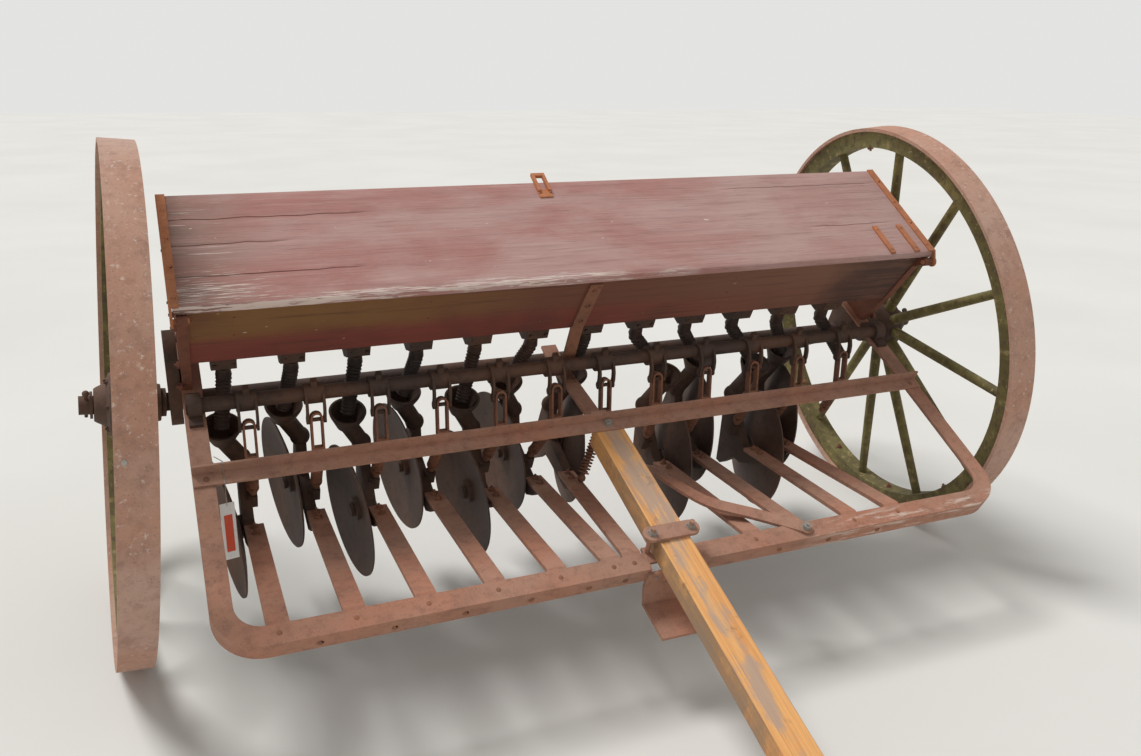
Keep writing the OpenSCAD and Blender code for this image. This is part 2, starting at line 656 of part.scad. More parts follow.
// Tapered spokes, seated on the hub and in the felloe
module spokes(s) color("#7c7030") parked() at_wheel(s)
    for (k = [0:spoke_count - 1]) rotate([8.5 + 360 / spoke_count * k, 0, 0]) intersection() {
        translate([0, 0, hub_r - 3]) cylinder(h = spoke_out - hub_r + 6, r1 = spoke_r_hub, r2 = spoke_r_rim);
        ring(hub_r, spoke_out, -40, 40);
    }

// Cast hub with flanges and a tapering nose
module hub(s) color("#3d3532") parked() at_wheel(s) rotate([0, 90, 0]) difference() {
    rotate_extrude() polygon([[0, -hub_in], [44, -hub_in], [46, -hub_in + 12], [52, -40], [hub_r - 4, -30], [hub_r, -26],
                              [hub_r, 26], [hub_r - 4, 30], [52, 36], [42, hub_out - 6], [38, hub_out], [0, hub_out]]);
    translate([0, 0, -hub_in - 1]) cylinder(h = hub_in + hub_out + 2, r = axle_r + fit);
}

frame_rails();
cross_angle();
centre_rail();
twisted_strap();
tongue();
tongue_clamp();
tongue_bracket();
tongue_hitch();
axle();
axle_brackets();
box_front();
box_rear();
box_bottom();
box_ends();
box_brace();
lid();
lid_irons();
feed_cups();
feed_shaft();
seed_tubes();
gear_cover();
rock_shaft();
rock_brackets();
pressure_links();
pressure_springs();
drag_bars();
boots();
disc(0);  // disc_01
disc(1);  // disc_02
disc(2);  // disc_03
disc(3);  // disc_04
disc(4);  // disc_05
disc(5);  // disc_06
disc(6);  // disc_07
disc(7);  // disc_08
disc(8);  // disc_09
disc(9);  // disc_10
disc(10);  // disc_11
tyre(-1);  // tyre_left
felloe(-1);  // felloe_left
spokes(-1);  // spokes_left
hub(-1);  // hub_left
tyre(1);  // tyre_right
felloe(1);  // felloe_right
spokes(1);  // spokes_right
hub(1);  // hub_right
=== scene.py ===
# %% [markdown]
# # A horse-drawn grain drill, parked nose-down on its tongue
# The steel frame, wheels, box and openers come from the CAD model, already in metres and in place.
# Blender adds what sixty years outdoors did to them: rust in several tones, paint worn down to grey
# wood, and the small hardware that holds the drill together.

import math

import bmesh
import bpy
from mathutils import Matrix, Vector, noise


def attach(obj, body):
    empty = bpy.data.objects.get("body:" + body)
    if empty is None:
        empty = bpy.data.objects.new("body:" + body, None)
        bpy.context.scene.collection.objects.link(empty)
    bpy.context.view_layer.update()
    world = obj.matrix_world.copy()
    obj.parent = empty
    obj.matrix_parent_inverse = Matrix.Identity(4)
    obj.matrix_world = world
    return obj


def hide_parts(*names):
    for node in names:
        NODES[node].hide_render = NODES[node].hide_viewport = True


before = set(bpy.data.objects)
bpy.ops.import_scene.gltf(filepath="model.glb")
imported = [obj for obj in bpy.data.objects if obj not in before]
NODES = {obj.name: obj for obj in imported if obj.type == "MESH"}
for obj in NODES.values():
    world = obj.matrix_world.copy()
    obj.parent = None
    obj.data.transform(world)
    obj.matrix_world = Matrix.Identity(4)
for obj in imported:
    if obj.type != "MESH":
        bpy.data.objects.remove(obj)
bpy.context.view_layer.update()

# %% [markdown]
# The drill is laid out in its own axes, in millimetres: the wheel centres at the origin, X to the right,
# Y to the rear and Z up. The whole frame is then pitched 29 degrees, nose down. One matrix holds that,
# so each new piece can be drawn where a maker would measure it and be parked in one step.

# %% The drill's own axes
PITCH = math.radians(29)
MIDDLE = Vector((0, 0.448708, 0.610521))
PARK = Matrix.Translation(MIDDLE) @ Matrix.Rotation(PITCH, 4, "X") @ Matrix.Scale(0.001, 4)
RAIL_Z, ANGLE_T, FRONT_Y = 84, 6, 755
WHEEL_X, LEAN = 1108, math.radians(6)
ROW_PITCH, ROWS = 152.4, 12


def row_x(row):
    return (row - (ROWS - 1) / 2) * ROW_PITCH


def at_wheel(s):
    """Outward X, from the middle of the left (-1) or right (1) wheel."""
    leaning = Matrix.Translation((s * WHEEL_X, 0, 0)) @ Matrix.Rotation(-s * LEAN, 4, "Y")
    return leaning @ Matrix.Diagonal((s, 1, 1, 1))


# %% [markdown]
# The camera stands where the photographer did: left of the tongue, at eye height, looking down along
# the box. Its place was solved in the drill's own axes, from the wheels, the box and the frame's corners,
# so it is parked by the same pitch as the drill.

# %% Camera
EYE = Vector((-997, -1761.2, 1852.2))
right = Vector((0.9215, -0.33373, 0.19695))
up = Vector((0.1066, 0.70698, 0.69872))
ahead = Vector((0.3727, 0.62323, -0.68753))
turn = Matrix((right, up, -ahead)).transposed().to_quaternion().to_matrix().to_4x4()
camera = bpy.data.objects.new("camera", bpy.data.cameras.new("camera"))
camera.matrix_world = Matrix.Translation(PARK @ EYE) @ Matrix.Rotation(PITCH, 4, "X") @ turn
camera.data.lens, camera.data.sensor_width, camera.data.sensor_fit = 31.19, 36, "HORIZONTAL"
bpy.context.scene.collection.objects.link(camera)
bpy.context.scene.camera = camera

# %% [markdown]
# Shader maths reads best as plain expressions. A Value wraps one socket, and adding or multiplying it
# makes the Math node. Any other node comes from Finish.node, which takes its settings and its inputs.


# %% Shader maths as expressions
class Value:
    def __init__(self, finish, socket):
        self.finish, self.socket = finish, socket

    def maths(self, operation, a, b):
        return self.finish.node("Math", {"operation": operation}, {0: a, 1: b})

    def __add__(self, other):
        return self.maths("ADD", self, other)

    def __sub__(self, other):
        return self.maths("SUBTRACT", self, other)

    def __rsub__(self, other):
        return self.maths("SUBTRACT", other, self)

    def __mul__(self, other):
        return self.maths("MULTIPLY", self, other)

    __radd__ = __add__


def tone(r, g, b):
    """A colour given as the eye reads it, 0 to 255, as linear light."""
    return tuple(((c / 255 + 0.055) / 1.055) ** 2.4 if c > 10 else c / 255 / 12.92 for c in (r, g, b)) + (1.0,)


class Finish:
    """One material, with the few moves that every finish here is made of."""

    def __init__(self, name):
        self.material = bpy.data.materials.new(name)
        self.material.use_nodes = True
        self.tree = self.material.node_tree
        self.tree.nodes.clear()
        self.place = self.node("TexCoord", {}, {}, out="Object")

    def node(self, kind, settings, inputs, out=0):
        made = self.tree.nodes.new("ShaderNode" + kind)
        for key, value in settings.items():
            setattr(made, key, value)
        for key, value in inputs.items():
            if isinstance(value, Value):
                self.tree.links.new(value.socket, made.inputs[key])
            else:
                made.inputs[key].default_value = value
        return Value(self, made.outputs[out]) if len(made.outputs) else None

    def drill_axes(self, pitch=PITCH):
        """Object coordinates in the drill's own axes, in metres from the wheel centres."""
        level = self.node("VectorRotate", {"rotation_type": "X_AXIS"},
                          {"Vector": self.place, "Center": MIDDLE, "Angle": -pitch})
        return self.node("VectorMath", {"operation": "SUBTRACT"}, {0: level, 1: MIDDLE})

    def axis(self, vector, name):
        return self.node("SeparateXYZ", {}, {0: vector}, out=name)

    def stretch(self, vector, x, y, z):
        return self.node("Mapping", {}, {"Vector": vector, "Scale": (x, y, z)})

    def cloud(self, scale, detail=4.0, rough=0.55, vector=None, bend=0.0):
        return self.node("TexNoise", {}, {"Vector": vector or self.place, "Scale": scale, "Detail": detail,
                                          "Roughness": rough, "Distortion": bend})

    def between(self, value, low, high):
        """0 below low, 1 above high, and smooth between them."""
        return self.node("MapRange", {"interpolation_type": "SMOOTHSTEP"}, {0: value, 1: low, 2: high})

    def mix(self, mask, a, b):
        return self.node("Mix", {"data_type": "RGBA"}, {0: mask, 6: a, 7: b}, out=2)

    def close(self, colour, rough, height=None, depth=0.001, metal=0.0):
        shader = {"Base Color": colour, "Roughness": rough, "Metallic": metal}
        if height is not None:
            shader["Normal"] = self.node("Bump", {}, {"Height": height, "Distance": depth, "Strength": 1.0})
        made = self.node("BsdfPrincipled", {}, shader)
        self.node("OutputMaterial", {}, {"Surface": made})
        return self.material


# %% [markdown]
# Bare iron that has stood outside for decades isn't one brown. It has broad warm and dark areas, a
# mottle a few centimetres across, pale grey-pink flecks where mill scale holds on, and pits. The same
# recipe makes every iron here, from four tones each. The right half of the front bar was also rubbed
# pale, where people lean and step.


# %% Weathered iron
def iron(name, main, shade, warm, fleck, rough=0.82, flecks=0.62, metal=0.0, rubbed=False):
    f = Finish(name)
    broad, mottle, pits = f.cloud(3.2, 5.0), f.cloud(42, 8.0, 0.7), f.cloud(260, 3.0, 0.6)
    blotch = f.between(f.cloud(9, 6.0, 0.62), 0.50, 0.72)
    colour = f.mix(f.between(broad, 0.36, 0.66), tone(*main), tone(*warm))
    colour = f.mix(f.between(mottle, 0.44, 0.70) * 0.45 + blotch * 0.35, colour, tone(*shade))
    scale_spots = f.between(f.cloud(80, 5.0, 0.72), flecks, flecks + 0.14) * f.between(broad + mottle, 0.8, 1.15)
    colour = f.mix(scale_spots * 0.7, colour, tone(*fleck))
    colour = f.mix(f.between(pits, 0.60, 0.72) * 0.5, colour, tone(*(c * 0.5 for c in shade)))
    if rubbed:
        at = f.drill_axes()
        rub = f.between(f.axis(at, "X"), 0.30, 0.52) * f.between(f.axis(at, "Y"), -0.708, -0.728)
        rub = rub * f.between(f.cloud(1.0, 5.0, 0.65, f.stretch(at, 9, 60, 60)), 0.50, 0.64)
        colour = f.mix(rub * 0.75, colour, tone(206, 186, 172))
    height = mottle * 0.4 + pits * 0.6 + scale_spots * 0.25
    return f.close(colour, rough - scale_spots * 0.14, height, 0.0012, metal)


rusted_angle = iron("rusted_angle", (164, 124, 104), (114, 80, 66), (170, 116, 92), (204, 174, 156), rubbed=True)
rusted_forging = iron("rusted_forging", (128, 88, 68), (78, 54, 44), (150, 98, 70), (172, 140, 122))
dark_casting = iron("dark_casting", (72, 54, 45), (42, 33, 30), (96, 66, 48), (122, 98, 84), 0.78, 0.68)
box_end_casting = iron("box_end_casting", (112, 66, 50), (66, 42, 35), (132, 78, 54), (160, 124, 104), 0.8, 0.66)
lid_iron = iron("lid_iron", (168, 108, 76), (116, 74, 54), (184, 116, 76), (198, 164, 142))
# The tyre's four tones are raised pale as painted light, standing in for sun on tread faces that the lamp leaves
# in shade; its mottle and flecks are rust.
tyre_iron = iron("tyre_iron", (184, 150, 133), (136, 101, 86), (180, 134, 112), (226, 206, 192), 0.8, 0.56)
disc_steel = iron("disc_steel", (80, 62, 54), (50, 39, 35), (104, 74, 58), (128, 106, 94), 0.7, 0.64, 0.1)
zinc = iron("galvanised", (168, 166, 160), (128, 122, 114), (180, 174, 162), (206, 204, 198), 0.45, 0.7, 0.7)


# %% [markdown]
# A seed tube is a ribbon of spring steel wound into a spiral. It is darker than the castings, and its
# rubbed ribs show a little metal, so the ribs are modelled and the finish only adds tone.

# %% Wound steel ribbon
seed_tube_steel = iron("seed_tube_steel", (58, 48, 43), (38, 32, 30), (82, 58, 46), (104, 90, 82), 0.6, 0.66, 0.25)

# %% [markdown]
# The lid is a wide board that lost most of its red paint. What is left lies pinkish and thin over grey
# wood, streaked along the grain. The left end is greyest, and its front corner and front edge are
# scuffed down to pale wood. Position picks where each kind of wear shows, and stretched noise makes the
# streaks.


# %% Worn red paint on the lid
def worn_lid():
    f = Finish("lid_paint")
    at = f.drill_axes()
    x, y = f.axis(at, "X"), f.axis(at, "Y")
    grain = f.cloud(1.0, 6.0, 0.68, f.stretch(at, 3.2, 78, 40), 0.6)
    fine = f.cloud(1.0, 4.0, 0.6, f.stretch(at, 12, 420, 200), 0.3)
    patch = f.cloud(2.6, 5.0, 0.6, f.stretch(at, 1.0, 2.2, 1.0), 0.4)
    colour = f.mix(f.between(patch, 0.36, 0.64), tone(176, 141, 135), tone(164, 114, 106))
    colour = f.mix(f.between(x, -0.1, 0.9) * 0.5, colour, tone(176, 148, 141))
    colour = f.mix(f.between(grain, 0.48, 0.74) * 0.45, colour, tone(126, 92, 86))
    colour = f.mix(f.between(grain, 0.46, 0.30) * 0.3, colour, tone(190, 164, 156))
    colour = f.mix(f.between(fine, 0.56, 0.68) * 0.35, colour, tone(108, 80, 74))
    leftward = f.between(x + (patch - 0.5) * 1.6, 0.60, -0.30)
    bare_front = f.between(y + (grain - 0.5) * 0.06 + (patch - 0.5) * 0.05, -0.118, -0.143) * leftward
    bare_end = f.between(x + (grain - 0.5) * 0.35 + (patch - 0.5) * 0.25, -0.72, -0.95)
    corner = f.between(x + (grain - 0.5) * 0.4, -0.58, -0.92) * f.between(y + (patch - 0.5) * 0.12, 0.01, -0.11)
    colour = f.mix(bare_end * (f.between(grain, 0.36, 0.60) * 0.6 + 0.3), colour, tone(132, 106, 94))
    chips = f.between(f.cloud(1.0, 3.0, 0.5, f.stretch(at, 22, 60, 60)), 0.735, 0.76)
    streaks = fine + grain
    scuffs = f.between(bare_front * f.between(streaks, 0.92, 1.12) + corner * f.between(streaks, 0.98, 1.16)
                       + bare_end * f.between(fine, 0.55, 0.7) * 0.8 + chips, 0.25, 0.75)
    colour = f.mix(scuffs, colour, tone(214, 194, 184))
    return f.close(colour, 0.86 - scuffs * 0.04, grain * 0.7 + fine * 0.5 - scuffs * 0.2, 0.0022)


lid_paint = worn_lid()

# %% [markdown]
# Under the lid's shelter the front board kept more of its paint: ochre along the top and brick red
# below, both brown with age, dark where rain ran down at the right end.


# %% Ochre and brick-red boards
def striped_boards():
    f = Finish("box_paint")
    at = f.drill_axes()
    x, z = f.axis(at, "X"), f.axis(at, "Z")
    grain = f.cloud(1.0, 6.0, 0.66, f.stretch(at, 2.6, 60, 90), 0.5)
    fine = f.cloud(1.0, 4.0, 0.6, f.stretch(at, 9, 260, 380), 0.3)
    patch = f.cloud(3.1, 5.0, 0.6)
    edge = 0.292 + (patch - 0.5) * 0.05 + (grain - 0.5) * 0.015
    ochre = f.mix(f.between(patch, 0.4, 0.65), tone(128, 90, 50), tone(112, 72, 46))
    red = f.mix(f.between(patch, 0.4, 0.65), tone(126, 62, 50), tone(104, 56, 46))
    ochre = f.mix(f.between(x + (patch - 0.5) * 0.5, -0.75, 0.05), ochre, tone(112, 68, 52))
    colour = f.mix(f.between(z - edge, -0.03, 0.03), red, ochre)
    colour = f.mix(f.between(x, -0.1, 0.6) * 0.6, colour, tone(130, 92, 70))
    colour = f.mix(f.between(grain, 0.52, 0.72) * 0.55, colour, tone(72, 48, 40))
    colour = f.mix(f.between(fine, 0.60, 0.74) * 0.35, colour, tone(146, 110, 90))
    stain = f.between(x + (patch - 0.5) * 0.3, 0.66, 0.84) * f.between(grain + patch, 0.75, 1.1)
    colour = f.mix(stain * 0.8, colour, tone(58, 40, 34))
    chips = f.between(f.cloud(1.0, 3.0, 0.5, f.stretch(at, 40, 70, 90)), 0.74, 0.77)
    colour = f.mix(chips, colour, tone(186, 164, 146))
    return f.close(colour, 0.78, grain * 0.6 + fine * 0.4 - chips * 0.3, 0.0014)


box_paint = striped_boards()

# %% [markdown]
# The tongue is a younger board, sawn square, its orange-yellow stain greying where weather and boots
# reached it: in blotches down the middle of its top, and over most of each side face. The side faces'
# grey-brown is partly that weathering and partly painted shade. Its grain runs along it, so the pattern
# is turned to the tongue's own slope, which is 7.5 degrees less than the frame's.


# %% Sawn board of the tongue
def sawn_board():
    f = Finish("tongue_wood")
    at = f.drill_axes(PITCH - math.radians(7.5))
    x = f.axis(at, "X")
    grain = f.cloud(1.0, 6.0, 0.62, f.stretch(at, 70, 2.4, 50), 0.9)
    fine = f.cloud(1.0, 4.0, 0.6, f.stretch(at, 420, 9, 300), 0.3)
    patch = f.cloud(1.0, 6.0, 0.62, f.stretch(at, 14, 6, 6), 0.4)
    colour = f.mix(f.between(grain, 0.38, 0.66), tone(226, 168, 104), tone(206, 142, 84))
    colour = f.mix(f.between(fine, 0.56, 0.72) * 0.4, colour, tone(150, 108, 74))
    middle = f.between(x, 0.036, 0.004) * f.between(x, -0.036, -0.004)
    grey = f.between(patch + (grain - 0.5) * 0.3 + middle * 0.14, 0.50, 0.68)
    colour = f.mix(grey * 0.8, colour, tone(168, 148, 134))
    # Grey-brown over both side faces in patches: partly weathering, partly painted shade.
    sides = f.between(x, -0.0365, -0.0378) + f.between(x, 0.0365, 0.0378)
    colour = f.mix(sides * f.between(patch, 0.36, 0.56) * 0.75, colour, tone(140, 116, 92))
    dirt = f.between(f.cloud(11, 5.0, 0.65), 0.60, 0.74)
    colour = f.mix(dirt * 0.6, colour, tone(96, 76, 60))
    knots = f.between(f.cloud(1.0, 2.0, 0.4, f.stretch(at, 26, 7, 26)), 0.75, 0.80)
    colour = f.mix(knots, colour, tone(92, 56, 36))
    return f.close(colour, 0.8 + grey * 0.1, grain * 0.6 + fine * 0.5, 0.0014)


tongue_wood = sawn_board()

# %% [markdown]
# Spokes and felloes were painted yellow and have gone olive and brown, darkest where water sits. The
# wheels turn, so this finish has no direction of its own and stays true at every angle.


# %% Olive paint on the wheels
def olive_paint():
    f = Finish("wheel_wood")
    patch, mottle, fine = f.cloud(5.5, 5.0, 0.6), f.cloud(38, 5.0, 0.65), f.cloud(210, 3.0)
    colour = f.mix(f.between(patch, 0.38, 0.62), tone(118, 108, 62), tone(92, 82, 44))
    colour = f.mix(f.between(mottle, 0.50, 0.66) * 0.75, colour, tone(78, 60, 44))
    colour = f.mix(f.between(mottle, 0.44, 0.34) * 0.6, colour, tone(156, 138, 92))
    worn = f.between(f.cloud(70, 4.0, 0.7), 0.64, 0.70)
    colour = f.mix(worn * 0.7, colour, tone(166, 152, 130))
    return f.close(colour, 0.8, mottle * 0.6 + fine * 0.4, 0.0014)


wheel_wood = olive_paint()

# %% [markdown]
# Every CAD node keeps its shape and takes the finish of its material slot.

# %% Finishes on the CAD nodes
WEARS = {
    rusted_angle: ["frame_rails", "cross_angle", "centre_rail", "twisted_strap", "tongue_clamp", "tongue_bracket",
                   "drag_bars"],
    rusted_forging: ["tongue_hitch", "pressure_links", "pressure_springs", "box_brace"],
    dark_casting: ["axle", "axle_brackets", "feed_cups", "feed_shaft", "gear_cover", "rock_shaft", "rock_brackets",
                   "boots", "hub_left", "hub_right"],
    seed_tube_steel: ["seed_tubes"],
    tongue_wood: ["tongue"],
    box_paint: ["box_front", "box_rear", "box_bottom"],
    box_end_casting: ["box_ends"],
    lid_paint: ["lid"],
    lid_iron: ["lid_irons"],
    disc_steel: [name for name in NODES if name.startswith("disc_")],
    tyre_iron: ["tyre_left", "tyre_right"],
    wheel_wood: ["felloe_left", "felloe_right", "spokes_left", "spokes_right"],
}
for finish, names in WEARS.items():
    for name in names:
        NODES[name].data.materials.clear()
        NODES[name].data.materials.append(finish)
print("nodes without a finish:", sorted(set(NODES) - {name for names in WEARS.values() for name in names}))

# %% [markdown]
# Each new piece starts as a bmesh in the drill's axes and ends the same way: doubles merged, faces
# turned outward, parked, linked and hung on the body that carries it.


# %% Finishing a piece
def piece(name, bm, body, slot_name, *materials, smooth=40):
    bmesh.ops.remove_doubles(bm, verts=bm.verts, dist=0.01)
    bmesh.ops.recalc_face_normals(bm, faces=bm.faces)
    bm.transform(PARK)
    mesh = bpy.data.meshes.new(name)
    bm.to_mesh(mesh)
    bm.free()
    for material in materials:
        mesh.materials.append(material)
    mesh.shade_smooth()
    mesh.set_sharp_from_angle(angle=math.radians(smooth))
    made = bpy.data.objects.new(name, mesh)
    bpy.context.scene.collection.objects.link(made)
    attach(made, body)
    print(name, "faces:", len(mesh.polygons))
    return made


def facing(at, toward, roll=0.0):
    """A place whose Z points toward, from a point."""
    aimed = Vector(toward).to_track_quat("Z", "Y").to_matrix().to_4x4()
    return Matrix.Translation(at) @ aimed @ Matrix.Rotation(roll, 4, "Z")


def drum(bm, place, r0, r1, low, high, sides=12):
    """A closed drum or cone along the place's Z, from low to high."""
    bmesh.ops.create_cone(bm, cap_ends=True, segments=sides, radius1=r0, radius2=r1, depth=high - low,
                          matrix=place @ Matrix.Translation((0, 0, (low + high) / 2)))


def slab(bm, place, low, high):
    """A box between two corners."""
    low, high = Vector(low), Vector(high)
    fit = Matrix.Translation((low + high) / 2) @ Matrix.Diagonal((*(high - low), 1))
    bmesh.ops.create_cube(bm, size=1, matrix=place @ fit)


# %% [markdown]
# Two kinds of fastener hold such a drill: square nuts on machine bolts, and round carriage heads that
# sit almost flush. Both have few faces, because there are many of them. Each sinks a little into what
# it holds, so no light passes under it.


# %% Nuts and round heads
def nut(bm, place, size=9, stud=7, sides=4):
    drum(bm, place, size * 1.25, size * 1.25, -0.6, 1.8, 12)
    drum(bm, place, size * 1.18, size * 1.08, 1.6, 1.8 + size * 0.75, sides)
    drum(bm, place, size * 0.5, size * 0.42, 1.8, 1.8 + size * 0.75 + stud, 8)


def round_head(bm, place, r=9, high=4.5):
    drum(bm, place, r, r * 0.86, -0.6, high * 0.45, 12)
    drum(bm, place, r * 0.86, r * 0.4, high * 0.45, high, 12)


# %% [markdown]
# ## Hardware of the frame
# A flush bolt and a nut below hold each drag bar under the front bar, and a round head shows on its
# face between every two of them. The newer bolts at the tongue are galvanised and stayed bright.

# %% Frame bolts
# Each opener: the x of its boot, the x of its drag bar's foot on the front bar, and its rank
OPENERS = [(-852, -856, 0), (-703, -707, 1), (-556, -560, 0), (-406, -410, 1), (-262, -268, 0), (-129, -142, 1),
           (-34, -92, 2), (239, 226, 0), (365, 349, 1), (534, 507, 0), (649, 640, 1)]
# Each rank: the disc's y, the y where the drag bar ends, and the y and z of the ball on the drag bar
RANKS = [(-250, -290, -205, -138), (-130, -262, -195, -160), (-130, -262, -330, -122.6)]
UP, DOWN, AHEAD = (0, 0, 1), (0, 0, -1), (0, -1, 0)
FOOT_Y = 24 - FRONT_Y
TONGUE_GAP = 90

bm = bmesh.new()
for _, foot_x, _ in OPENERS:
    round_head(bm, facing((foot_x, FOOT_Y, RAIL_Z), UP), 6, 1.6)
    nut(bm, facing((foot_x, FOOT_Y, RAIL_Z - ANGLE_T - 10), DOWN, 0.4), 8, 5)
for (_, a, _), (_, b, _) in zip(OPENERS, OPENERS[1:]):
    if abs((a + b) / 2) > TONGUE_GAP:
        round_head(bm, facing(((a + b) / 2, -FRONT_Y, RAIL_Z - 26), AHEAD), 7, 4)
for s in (-1, 1):
    round_head(bm, facing((s * 950, -334, RAIL_Z + 5), UP), 7, 3.6)
piece("frame_bolts", bm, "frame", "rusted_forging", rusted_forging)

bm = bmesh.new()
for x in (-49, 49):
    nut(bm, facing((x, -697.7, 137.8), (0, 0.13, 1), 0.3), 9, 3, 6)
nut(bm, facing((0, -331, RAIL_Z + 5), UP, 0.2), 9, 6, 6)
nut(bm, facing((364, -729, RAIL_Z + 7), UP, 0.5), 9, 5, 6)
for x in (-44, 4):
    nut(bm, facing((x, -FRONT_Y, RAIL_Z - 24), AHEAD, 0.2), 8, 5, 6)
piece("tongue_bolts", bm, "frame", "rusted_forging", zinc)

# %% [markdown]
# ## The twisted strap
# A flat bar braces one opener from a bolt on the front bar. It was bent and twisted by hand, so it has
# no straight leg. The CAD solid gives its line in straight pieces. Here nearly the same points carry a
# smooth ribbon: a rectangle is set along a curve through them and each one is bridged to the next.

# %% A bar bent by hand
STRAP = [Vector(p) for p in ((364, -729, 87.5), (264, -655, 72), (178, -585, 51), (148, -480, 0), (163, -395, -72),
                             (197.5, -300, -158))]
STRAP_W, STRAP_T, STRAP_STEPS = 17, 3.5, 40


def bend_through(points, t):
    """A smooth curve through all the points, at t from 0 to 1."""
    k = min(int(t * (len(points) - 1)), len(points) - 2)
    u = t * (len(points) - 1) - k
    a, b, c, d = (points[max(0, min(len(points) - 1, k + i))] for i in (-1, 0, 1, 2))
    return 0.5 * (2 * b + (c - a) * u + (2 * a - 5 * b + 4 * c - d) * u * u + (3 * b - a - 3 * c + d) * u ** 3)


bm = bmesh.new()
loops = []
for k in range(STRAP_STEPS + 1):
    t = k / STRAP_STEPS
    at = bend_through(STRAP, t)
    way = (bend_through(STRAP, min(1, t + 0.01)) - bend_through(STRAP, max(0, t - 0.01))).normalized()
    across = way.cross(Vector(UP)).normalized()
    thick = across.cross(way)
    corners = [bm.verts.new(at + across * sx * STRAP_W + thick * sz * STRAP_T)
               for sx, sz in ((-1, -1), (-0.9, 1), (0.9, 1), (1, -1))]
    loops.append([bm.edges.new((corners[i], corners[(i + 1) % 4])) for i in range(4)])
for one, other in zip(loops, loops[1:]):
    bmesh.ops.bridge_loops(bm, edges=one + other)
bmesh.ops.holes_fill(bm, edges=loops[0] + loops[-1])
drum(bm, facing(STRAP[0], UP), STRAP_W, STRAP_W, -STRAP_T, STRAP_T, 24)
strap = piece("bent_strap", bm, "frame", "rusted_angle", rusted_angle, smooth=35)
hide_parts("twisted_strap")

# %% [markdown]
# ## Pressure springs
# Each opener is pressed down through a coiled spring on its rod. The CAD model has a ribbed sleeve in
# its place. Here the wire is a circle spun round the rod while it climbs, which is what a spring
# winder does. It replaces the sleeve and stands on the same collar.

# %% Wind the springs
LINK_PIN = Vector((0, -176, 62))
PLUMB = Vector((0, -math.sin(PITCH), -math.cos(PITCH)))
SPRING_R, WIRE_R, COIL_PITCH = 12.1, 2.7, 8.6
LINK_DROP, ROD_ABOVE, ROD_BELOW = 82, 30, 18
COIL_STEPS = 14


def side(row):
    return -1 if row < ROWS / 2 else 1


def link_x(row):
    return row_x(row) + (-5 if side(row) < 0 else -17)


def rod_ends(row):
    """Where the pressure rod leaves its U link, and the ball at its foot."""
    knee = Vector((link_x(row), LINK_PIN.y, LINK_PIN.z)) + PLUMB * LINK_DROP
    boot_x, _, rank = OPENERS[row] if row < len(OPENERS) else (row_x(row), 0, 0)
    seat_x = max(-9, min(12, (link_x(row) - boot_x) * -side(row)))
    return knee, Vector((boot_x - side(row) * seat_x, RANKS[rank][2], RANKS[rank][3]))


bm = bmesh.new()
for row in range(ROWS):
    knee, foot = rod_ends(row)
    way = (foot - knee).normalized()
    length = (foot - knee).length - ROD_ABOVE - ROD_BELOW - 2 * WIRE_R
    turns = length / COIL_PITCH
    start = facing(knee + way * (ROD_ABOVE + WIRE_R), way)
    upright = Matrix.Translation((SPRING_R, 0, 0)) @ Matrix.Rotation(math.pi / 2, 4, "X")
    wire = bmesh.ops.create_circle(bm, segments=7, radius=WIRE_R, matrix=start @ upright)
    edges = list({e for v in wire["verts"] for e in v.link_edges})
    steps = int(turns * COIL_STEPS)
    bmesh.ops.spin(bm, geom=edges, cent=start.translation, axis=way, dvec=way * (length / steps),
                   angle=turns * math.tau, steps=steps)
bmesh.ops.holes_fill(bm, edges=[e for e in bm.edges if e.is_boundary])
springs = piece("coiled_springs", bm, "frame", "rusted_forging", rusted_forging, smooth=60)
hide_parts("pressure_springs")

# %% [markdown]
# ## Seed tubes
# The wound ribbon of a seed tube overlaps itself, which gives a rib every centimetre. Circles of two
# sizes are set along the tube's path, from the cup down into the boot's funnel, and bridged.

# %% Ribbed seed tubes
TUBE_R, RIB, RIB_DEPTH = 18.8, 9.0, 2.6
CUP_SHIFT, CUP_Y, CUP_Z = -45, -52, 139
KNEE_Z, KNEE_R = 110, 8
FUNNEL_X, FUNNEL_Z = -47, -3
FUNNEL_Y = (-112, -66, -66)


def tube_path(row):
    boot_x, _, rank = OPENERS[row] if row < len(OPENERS) else (row_x(row), 0, 0)
    top = Vector((row_x(row) + CUP_SHIFT, CUP_Y, CUP_Z))
    knee = Vector((top.x, top.y, KNEE_Z))
    foot = Vector((boot_x - side(row) * FUNNEL_X, FUNNEL_Y[rank], FUNNEL_Z))
    a, b = (knee - top).normalized(), (foot - knee).normalized()
    points = [top, knee - a * KNEE_R]
    points += [knee - a * KNEE_R * (1 - t) ** 2 + b * KNEE_R * t ** 2 for t in (0.35, 0.65)]
    points += [knee + b * KNEE_R]
    steps = max(4, int((foot - knee).length / RIB * 2))
    points += [knee + b * KNEE_R + (foot - knee - b * KNEE_R) * (k / steps) for k in range(1, steps + 1)]
    return points


bm = bmesh.new()
for row in range(ROWS):
    path = tube_path(row)
    loops = []
    for k, point in enumerate(path):
        way = (path[min(k + 1, len(path) - 1)] - path[max(k - 1, 0)]).normalized()
        radius = TUBE_R if k % 2 else TUBE_R - RIB_DEPTH
        circle = bmesh.ops.create_circle(bm, segments=18, radius=radius, matrix=facing(point, way))
        loops.append(list({e for v in circle["verts"] for e in v.link_edges}))
    for above, below in zip(loops, loops[1:]):
        bmesh.ops.bridge_loops(bm, edges=above + below)
    bmesh.ops.holes_fill(bm, edges=loops[0] + loops[-1])
tubes = piece("ribbed_tubes", bm, "frame", "seed_tube_steel", seed_tube_steel, smooth=30)
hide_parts("seed_tubes")

# %% [markdown]
# ## The lid's board
# The real lid is one wide board, split from its left end and ragged there, its front edge rounded by
# grain sacks and hands. The board is cut across into columns, and along into rows with three of them
# close together where a split runs: the middle one is pushed down into the wood.

